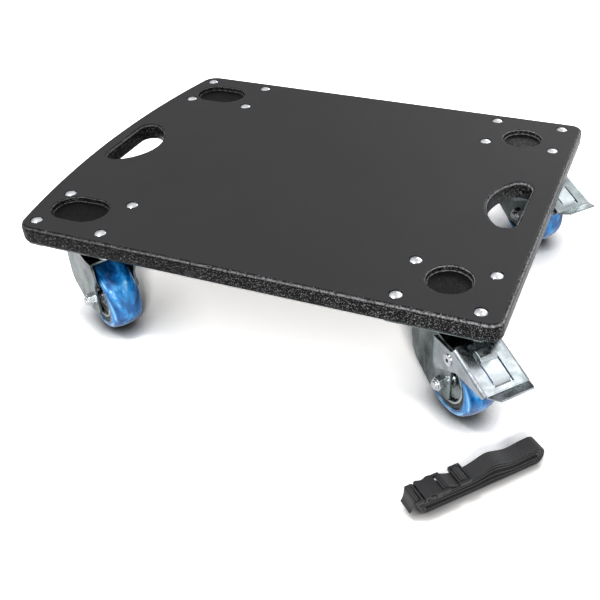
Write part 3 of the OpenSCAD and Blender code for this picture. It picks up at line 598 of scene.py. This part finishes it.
def make_wheel(corner):
    """Tread, core and dust covers of one wheel, drawn round the axle."""
    at = caster_place(corner, AXLE_Z, TRAIL)
    body = corner + "_wheel"
    bm = lathe(bmesh.new(), tyre_profile(), 128)
    new_piece(f"{corner}_tread", bm, "blue_tread", body, [f"{corner}_tyre"], at, 50)
    half = TYRE_WIDTH / 2 - 1.5
    cup = half - CUP_DEPTH
    seat = cup - 1.3
    face = [
        (11, seat - 8.5), (14, seat - 8.5), (14, seat), (COVER_R - 3.8, seat),
        (COVER_R - 1.7, half - 1), (COVER_R + 0.3, half - 1), (COVER_R + 0.7, half),
        (COVER_R + 1.6, half + 0.2), (COVER_R + 3.2, half + 0.2), (29.4, half), (29.7, half - 0.3),
    ]
    bm = lathe(bmesh.new(), face + [(r, -y) for r, y in face[::-1]])
    new_piece(f"{corner}_core", bm, "black_core", body, [f"{corner}_wheel_core"], at, 30)
    bm = bmesh.new()
    rim = half + 0.2
    cover = [
        (COVER_BORE_R, cup + 1.9), (6.8, cup + 2), (8.6, cup + 2), (9.1, cup + 1.6), (9.5, cup + 0.4),
        (10.1, cup), (COVER_R - 5.2, cup), (COVER_R - 4.5, cup + 0.3), (COVER_R - 2.9, rim - 0.6),
        (COVER_R - 2.3, rim - 0.1), (COVER_R - 1.4, rim), (COVER_R - 0.5, rim - 0.1),
        (COVER_R, rim - 0.6), (COVER_R, half - 1), (COVER_R - 2, half - 1), (COVER_R - 4, cup - 1),
        (COVER_BORE_R, cup - 1),
    ]
    for side in (-1, 1):
        lathe(bm, [(r, side * y) for r, y in cover])
    new_piece(f"{corner}_cover", bm, "cover_steel", body, [f"{corner}_dust_covers"], at, 35)


def dressed(node, body, width):
    """Copy of a CAD node's own surface with its sharp edges rounded off."""
    source = NODES[node]
    bm = bmesh.new()
    bm.from_mesh(source.data)
    bmesh.ops.remove_doubles(bm, verts=bm.verts, dist=2e-6)
    bmesh.ops.dissolve_limit(bm, angle_limit=math.radians(0.6), verts=bm.verts, edges=bm.edges)
    bm.transform(Matrix.Scale(1 / MM, 4))
    made = new_piece(node + "_finish", bm, SLOT_OF[node], body, [node], None, 30)
    return rounded(made, width)


def make_casters():
    """Wheels drawn here, and the sheet metal and bolts as rounded copies of the CAD nodes."""
    for corner, (_, _, _, braked) in CORNERS.items():
        make_wheel(corner)
        dressed(f"{corner}_fork", f"{corner}_swivel", 0.45)
        dressed(f"{corner}_plate", "deck", 0.5)
        dressed(f"{corner}_axle_nut", f"{corner}_swivel", 0.35)
        dressed(f"{corner}_axle_bolt", f"{corner}_swivel", 0.35)
        if braked:
            pedal = dressed(f"{corner}_brake_pedal", f"{corner}_brake", 0.4)
            # Painted light: the pedal takes the brighter copy of the zinc
            pedal.data.materials[0] = PAINTED_LIT_PEDAL_ZINC
            dressed(f"{corner}_brake_lever", f"{corner}_brake", 0.3)
            dressed(f"{corner}_brake_strip", f"{corner}_brake", 0.3)


# Strap: distances along the hank and heights above its middle, as in part.scad

STRAP_W, STRAP_T, STRAP_PITCH, STRAP_RUN = 16, 1.8, 2.7, 115
STRAP_END_IN, STRAP_SIDE_OUT, STRAP_TURN = 29, 112, 49
STRAP_AT = Vector((DECK_LENGTH / 2 - STRAP_END_IN, -DECK_WIDTH / 2 - STRAP_SIDE_OUT, 0)) * MM
STRAP_PLACE = Matrix.Translation(STRAP_AT) @ Matrix.Rotation(math.radians(STRAP_TURN), 4, "Z")
STRAP_R0 = STRAP_PITCH * 0.62
HANK_UNDER = STRAP_R0 + 2 * STRAP_PITCH + STRAP_T / 2
HANK_TOP = HANK_UNDER + 0.3
BAR_Z = HANK_TOP + 4
TOP_Z = STRAP_R0 + 3 * STRAP_PITCH
SLIDER_S, SOCKET_BAR_S, PLUG_BAR_S = 37, 20, -11.5
TURN_R, HUMP, END_RISE = 2.5, 6, 3
MIDDLE_Z = FLOOR_Z + HANK_UNDER


def spiral_arm(first, last):
    """Half turns of one arm of the double spiral, growing by one pitch each."""
    points = []
    for h in range(first, last + 1):
        for j in range(13):
            radius = STRAP_R0 + STRAP_PITCH * (h - first + j / 12)
            points.append(polar(radius, 180 * h - 90 + 15 * j) + Vector((STRAP_RUN * (1 - h % 2), 0)))
    return points


def filled(points):
    """Adds points along each long straight."""
    out = [points[0]]
    for a, b in zip(points, points[1:]):
        count = 16 if abs(b.x - a.x) > STRAP_RUN / 2 else 1
        out += [a.lerp(b, j / count) for j in range(1, count + 1)]
    return out


def humped(p):
    """Lifts the hank's upper layers over its hump and towards its far end."""
    rise = HUMP * math.exp(-(((p.x - 0.6 * STRAP_RUN) / 14) ** 2))
    rise += END_RISE / (1 + math.exp((0.86 * STRAP_RUN - p.x) / 4))
    share = max(0, min(1, (p.y + HANK_UNDER) / (2 * HANK_UNDER)))
    return Vector((p.x, p.y + rise * share))


def round_bar(s, z, start, end):
    """Turn of the webbing round a buckle's bar."""
    return arc((s, z), TURN_R, start, end, 6)


def strap_route():
    """Middle line of the webbing, from the plug's bar through the hank to the socket's bar."""
    plug_end = round_bar(PLUG_BAR_S, BAR_Z, -50, 200)
    plug_end += [Vector((PLUG_BAR_S + s, z)) for s, z in ((-3, 7.4), (-4, 4), (-6, 1))]
    top = STRAP_R0 + 2 * STRAP_PITCH
    hank = [Vector((-7.6, 7.6)), Vector((-4.6, top + 0.15)), Vector((-3, top))]
    hank += spiral_arm(1, 2)[::-1] + spiral_arm(0, 2)
    hank += [Vector((SLIDER_S + s, TOP_Z)) for s in (18, 12, 6.2)]
    socket_end = [Vector((SLIDER_S + 1.6, BAR_Z + 1.7)), Vector((SLIDER_S - 1.6, BAR_Z + 1.7))]
    socket_end += [Vector((SLIDER_S - 6.2, TOP_Z + 0.3))]
    socket_end += round_bar(SOCKET_BAR_S, BAR_Z, 80, 260)
    socket_end += [Vector((SOCKET_BAR_S + 4.5, HANK_TOP + 0.6 + STRAP_T / 2))]
    return plug_end[::-1] + [humped(p) for p in filled(hank)] + socket_end


def finer(points):
    """Catmull-Rom points between the route's own."""
    steps = 3
    out = []
    for i in range(len(points) - 1):
        p0, p1, p2 = points[max(i - 1, 0)], points[i], points[i + 1]
        p3 = points[min(i + 2, len(points) - 1)]
        for j in range(steps):
            t = j / steps
            out.append(0.5 * (2 * p1 + (p2 - p0) * t + (2 * p0 - 5 * p1 + 4 * p2 - p3) * t * t
                              + (3 * p1 - p0 - 3 * p2 + p3) * t ** 3))
    return out + [points[-1]]


def make_strap():
    """Webbing swept along its route with a rounded edge, UVs in millimetres."""
    route = strap_route()
    points = finer([p for i, p in enumerate(route) if i == 0 or (p - route[i - 1]).length > 0.05])
    section = [(0.35, 1), (STRAP_W - 0.35, 1), (STRAP_W, 0.35), (STRAP_W, -0.35),
               (STRAP_W - 0.35, -1), (0.35, -1), (0, -0.35), (0, 0.35)]
    bm = bmesh.new()
    uv = bm.loops.layers.uv.new("UVMap")
    rings, far, run = [], [], 0.0
    for i, p in enumerate(points):
        ahead = (points[min(i + 1, len(points) - 1)] - points[max(i - 1, 0)]).normalized()
        side = Vector((-ahead.y, ahead.x))
        run += (p - points[i - 1]).length if i else 0
        far.append(run)
        ring = []
        for across, out in section:
            q = p + side * out * STRAP_T / 2
            ring.append(bm.verts.new((q.x, across, q.y + MIDDLE_Z)))
        rings.append(ring)
    count = len(section)
    for i in range(len(rings) - 1):
        for k in range(count):
            m = (k + 1) % count
            face = bm.faces.new((rings[i][k], rings[i][m], rings[i + 1][m], rings[i + 1][k]))
            for loop, (n, w) in zip(face.loops, ((i, k), (i, m), (i + 1, m), (i + 1, k))):
                loop[uv].uv = (far[n], section[w][0])
    bm.faces.new(rings[0])
    bm.faces.new(rings[-1])
    strap = new_piece("webbing_band", bm, "strap_webbing", "strap", ["strap_webbing"], STRAP_PLACE, 50)
    return strap, far[-1]


def panel(name, shapes, low, high, edge):
    """Plate from filled outlines, the first one outside and the rest holes, edges rounded."""
    curve = bpy.data.curves.new(name, "CURVE")
    curve.dimensions = "2D"
    curve.fill_mode = "BOTH"
    curve.extrude = (high - low) / 2 - edge
    curve.bevel_depth = edge
    curve.bevel_resolution = 2
    curve.offset = -edge
    for shape in shapes:
        spline = curve.splines.new("POLY")
        spline.points.add(len(shape) - 1)
        for point, (x, y) in zip(spline.points, shape):
            point.co = (x, y, 0, 1)
        spline.use_cyclic_u = True
    holder = bpy.data.objects.new(name + "_curve", curve)
    bpy.context.scene.collection.objects.link(holder)
    mesh = baked(holder)
    bpy.data.objects.remove(holder)
    bm = bmesh.new()
    bm.from_mesh(mesh)
    bmesh.ops.remove_doubles(bm, verts=bm.verts, dist=1e-3)
    bmesh.ops.translate(bm, verts=bm.verts, vec=(0, 0, (low + high) / 2))
    return bm


def rounded_rect(x0, x1, y0, y1, r):
    """Rectangle with rounded corners."""
    points = arc((x1 - r, y1 - r), r, 0, 90, 4)
    points += arc((x0 + r, y1 - r), r, 90, 180, 4)
    points += arc((x0 + r, y0 + r), r, 180, 270, 4)
    return points + arc((x1 - r, y0 + r), r, 270, 360, 4)


def merged(parts):
    """Puts several bmeshes into one."""
    out = bmesh.new()
    for part in parts:
        mesh = bpy.data.meshes.new("part")
        part.to_mesh(mesh)
        part.free()
        out.from_mesh(mesh)
        bpy.data.meshes.remove(mesh)
    return out


def waisted(s0, s1):
    """Outline of the socket's shell: wide at both ends and narrower at the side windows."""
    near = [(s0, -2.0), (s0 + 0.5, -2.9), (s0 + 1.6, -3.3), (s0 + 3.2, -3.2), (s0 + 4.6, -2.4),
            (s0 + 6.4, -1.8), (s0 + 9.0, -1.8), (s0 + 10.6, -2.4), (s0 + 12.0, -3.2),
            (s1 - 2.0, -3.3), (s1 - 0.6, -3.1), (s1, -2.4)]
    return near + [(s, STRAP_W - y) for s, y in near[::-1]]


# Buckle: its edges and its slots across the webbing, and the heights of its parts
BUCKLE_NEAR, BUCKLE_FAR = -3.3, STRAP_W + 3.3
SLOT_NEAR, SLOT_FAR = -0.3, STRAP_W + 0.3
SHELL_TALL, PRONG_UP, PRONG_TALL = 6.6, 1.8, 3.0
SHELL_START, SHELL_END = -4, 13


def buckle_piece(name, parts, node):
    """Joins parts into one piece of the buckle that stands for a CAD node."""
    return new_piece(name, merged(parts), "buckle_plastic", "strap", [node], STRAP_PLACE, 40)


def frame_with_slots(name, outside, slots, low, high, edge):
    """Plate between two places along the webbing, with rounded slots across it."""
    s0, s1, corner = outside
    shapes = [rounded_rect(s0, s1, BUCKLE_NEAR, BUCKLE_FAR, corner)]
    shapes += [rounded_rect(a, b, SLOT_NEAR, SLOT_FAR, r) for a, b, r in slots]
    return panel(name, shapes, low, high, edge)


def make_slider():
    """Frame with two slots and a bar between them."""
    slots = [(SLIDER_S - 4.5, SLIDER_S - 0.9, 0.6), (SLIDER_S + 0.9, SLIDER_S + 4.5, 0.6)]
    bar_z = MIDDLE_Z + BAR_Z
    outside = (SLIDER_S - 6, SLIDER_S + 6, 1.6)
    plate = frame_with_slots("slider", outside, slots, bar_z - 1.4, bar_z + 2.2, 0.45)
    buckle_piece("slider_frame", [plate], "strap_slider")


def make_socket():
    """Waisted shell with side walls and a ladder frame for the webbing."""
    under = MIDDLE_Z + HANK_TOP
    top = under + SHELL_TALL
    shell = waisted(SHELL_START, SHELL_END)
    parts = [panel("shell", [shell], top - 1.7, top, 0.5), panel("shell", [shell], under, under + 1.5, 0.4)]
    walls = [(s0, s1, y0, y1, 0.7) for y0, y1 in ((-3.2, -1.2), (STRAP_W + 1.2, STRAP_W + 3.2))
             for s0, s1 in ((7.6, 12.8), (-3.8, -1.4))]
    walls.append((11.4, 12.9, -2, STRAP_W + 2, 0.5))
    parts += [panel("wall", [rounded_rect(*wall)], under + 0.6, top - 0.6, 0.3) for wall in walls]
    ladder = frame_with_slots("ladder", (12.4, 21.6, 1.4), [(14.6, 18.8, 0.6)], under + 2.0, top - 0.9, 0.5)
    buckle_piece("socket_shell", parts + [ladder], "strap_buckle_socket")


def make_plug():
    """Yoke with two slots, two side prongs and a guide between them."""
    low = MIDDLE_Z + HANK_TOP + PRONG_UP
    high = low + PRONG_TALL
    slots = [(-9.6, -7.2, 0.7), (-12.2, -10.6, 0.5)]
    parts = [frame_with_slots("yoke", (-13.1, -4.6, 1.6), slots, low - 0.2, high + 0.4, 0.5)]
    near = [(-5, -0.4), (-5, -1.7), (2, -1.9), (3.2, -2.9), (6.4, -2.9), (8.4, -1.6), (8.6, -0.4), (3, 0.8)]
    for prong in (near, [(s, STRAP_W - y) for s, y in near]):
        parts.append(panel("prong", [prong], low, high, 0.4))
    middle = STRAP_W / 2
    parts.append(panel("guide", [rounded_rect(-5, 10, middle - 2, middle + 2, 1)], low, high, 0.4))
    buckle_piece("plug_body", parts, "strap_buckle_plug")


make_deck()
make_casters()
strap_piece, strap_length = make_strap()
make_slider()
make_socket()
make_plug()

for node_name, node in NODES.items():
    if node_name in SLOT_OF:
        node.data.materials.clear()
        node.data.materials.append(MATERIALS[SLOT_OF[node_name]])


# Camera, floor and light

# The camera was solved from the deck's outline and its bolts, in pixels of the 600 pixel photo
CAMERA_AT = Vector((375.7, -808.7, 472.4)) * MM
CAMERA_RIGHT = Vector((0.92970148, 0.36733774, -0.02679816))
CAMERA_DOWN = Vector((0.19781615, -0.55938018, -0.80496123))
FOCAL_PX, PHOTO_PX = 873.38, 600
PRINCIPAL_PX = (347.147, 298.431)


def make_camera():
    """Camera at the photo's viewing angle, with its framing."""
    camera = bpy.data.objects.new("camera", bpy.data.cameras.new("camera"))
    bpy.context.scene.collection.objects.link(camera)
    right, up = CAMERA_RIGHT, -CAMERA_DOWN
    turn = Matrix((right, up, right.cross(up))).transposed().to_4x4()
    camera.matrix_world = Matrix.Translation(CAMERA_AT) @ turn
    camera.data.sensor_width = 36
    camera.data.lens = 36 * FOCAL_PX / PHOTO_PX
    camera.data.shift_x = 0.5 - PRINCIPAL_PX[0] / PHOTO_PX
    camera.data.shift_y = PRINCIPAL_PX[1] / PHOTO_PX - 0.5
    camera.data.clip_start, camera.data.clip_end = 0.05, 50
    camera.data.dof.use_dof = False
    bpy.context.scene.camera = camera


def make_floor():
    """Pale floor that shows white and keeps the object's shadow, with painted shadow that darkens it near
    and under whatever touches it.
    """
    bm = bmesh.new()
    bmesh.ops.create_grid(bm, x_segments=4, y_segments=4, size=6)
    mesh = bpy.data.meshes.new("floor")
    bm.to_mesh(mesh)
    bm.free()
    floor = bpy.data.objects.new("floor", mesh)
    bpy.context.scene.collection.objects.link(floor)
    floor.location.z = (FLOOR_Z - FLOOR_GAP) * MM
    s = Shader("floor")
    camera_ray, mirrored = s.looked_at()
    tone = s.mix(s.noise(3, 2), (0.90, 0.90, 0.90), (0.93, 0.93, 0.93))
    tone = s.mix(mirrored, tone, (0.92, 0.92, 0.92))
    # Painted shadow: the floor darkens where something stands within 80 mm, and more within 20 mm
    painted_shadow_factor = s.math("MULTIPLY", s.math("POWER", s.open_sky(80 * MM), 1.7), s.open_sky(20 * MM))
    tone = s.mix(camera_ray, tone, s.mix(painted_shadow_factor, (0.0, 0.0, 0.0), (2.3, 2.27, 2.22)))
    plain = s.node("ShaderNodeBsdfDiffuse", {"Color": tone}).outputs[0]
    s.tree.links.new(plain, s.tree.nodes["Material Output"].inputs["Surface"])
    floor.data.materials.append(s.material)


def area_light(name, at, aim, size, watts, size_y=None):
    """Lamp with a square or rectangular face, in metres, turned to its aim."""
    data = bpy.data.lights.new(name, "AREA")
    data.shape = "RECTANGLE"
    data.size, data.size_y = size, size_y or size
    data.energy = watts
    light = bpy.data.objects.new(name, data)
    light.location = at
    light.rotation_mode = "QUATERNION"
    light.rotation_quaternion = (Vector(aim) - Vector(at)).to_track_quat("-Z", "Y")
    bpy.context.scene.collection.objects.link(light)


# The world by height, from straight down at 0 to straight up at 1, and its strength as light
SKY = ((0.0, 0.9), (0.5, 1.0), (0.56, 0.9), (0.62, 0.35), (0.70, 0.4), (0.79, 0.95))
SKY_BLUE, SKY_LIGHT = 1.02, 0.65


def make_light():
    """Bright from above, with a darker belt over the horizon for the metal to reflect."""
    world = bpy.data.worlds.new("studio")
    bpy.context.scene.world = world
    world.use_nodes = True
    s = Nodes(world.node_tree)
    up = s.axis(s.node("ShaderNodeTexCoord").outputs["Generated"], "Z")
    stops = [(height, (tone, tone, tone * SKY_BLUE)) for height, tone in SKY]
    background = s.tree.nodes["Background"]
    s.feed(background.inputs["Color"], s.ramp(s.range(up, -1, 1, 0, 1), *stops))
    camera_ray, mirrored = s.looked_at()
    shown = s.math("MAXIMUM", camera_ray, mirrored)
    s.feed(background.inputs["Strength"], s.range(shown, 0, 1, SKY_LIGHT, 1))
    area_light("key", (-0.6, -0.5, 1.9), (0, 0, -0.05), 0.32, 15)
    area_light("flats", (0.85, 0.6, 1.75), (0.2, -0.1, -0.05), 0.7, 2.2)
    area_light("front", (0.9, -1.9, 1.15), (0.1, -0.1, -0.06), 0.35, 30, 0.3)
    area_light("back", (0.4, 1.9, 0.9), (0, 0, -0.05), 1.4, 10, 0.5)


make_camera()
make_floor()
make_light()
bpy.context.scene.view_settings.view_transform = "Standard"
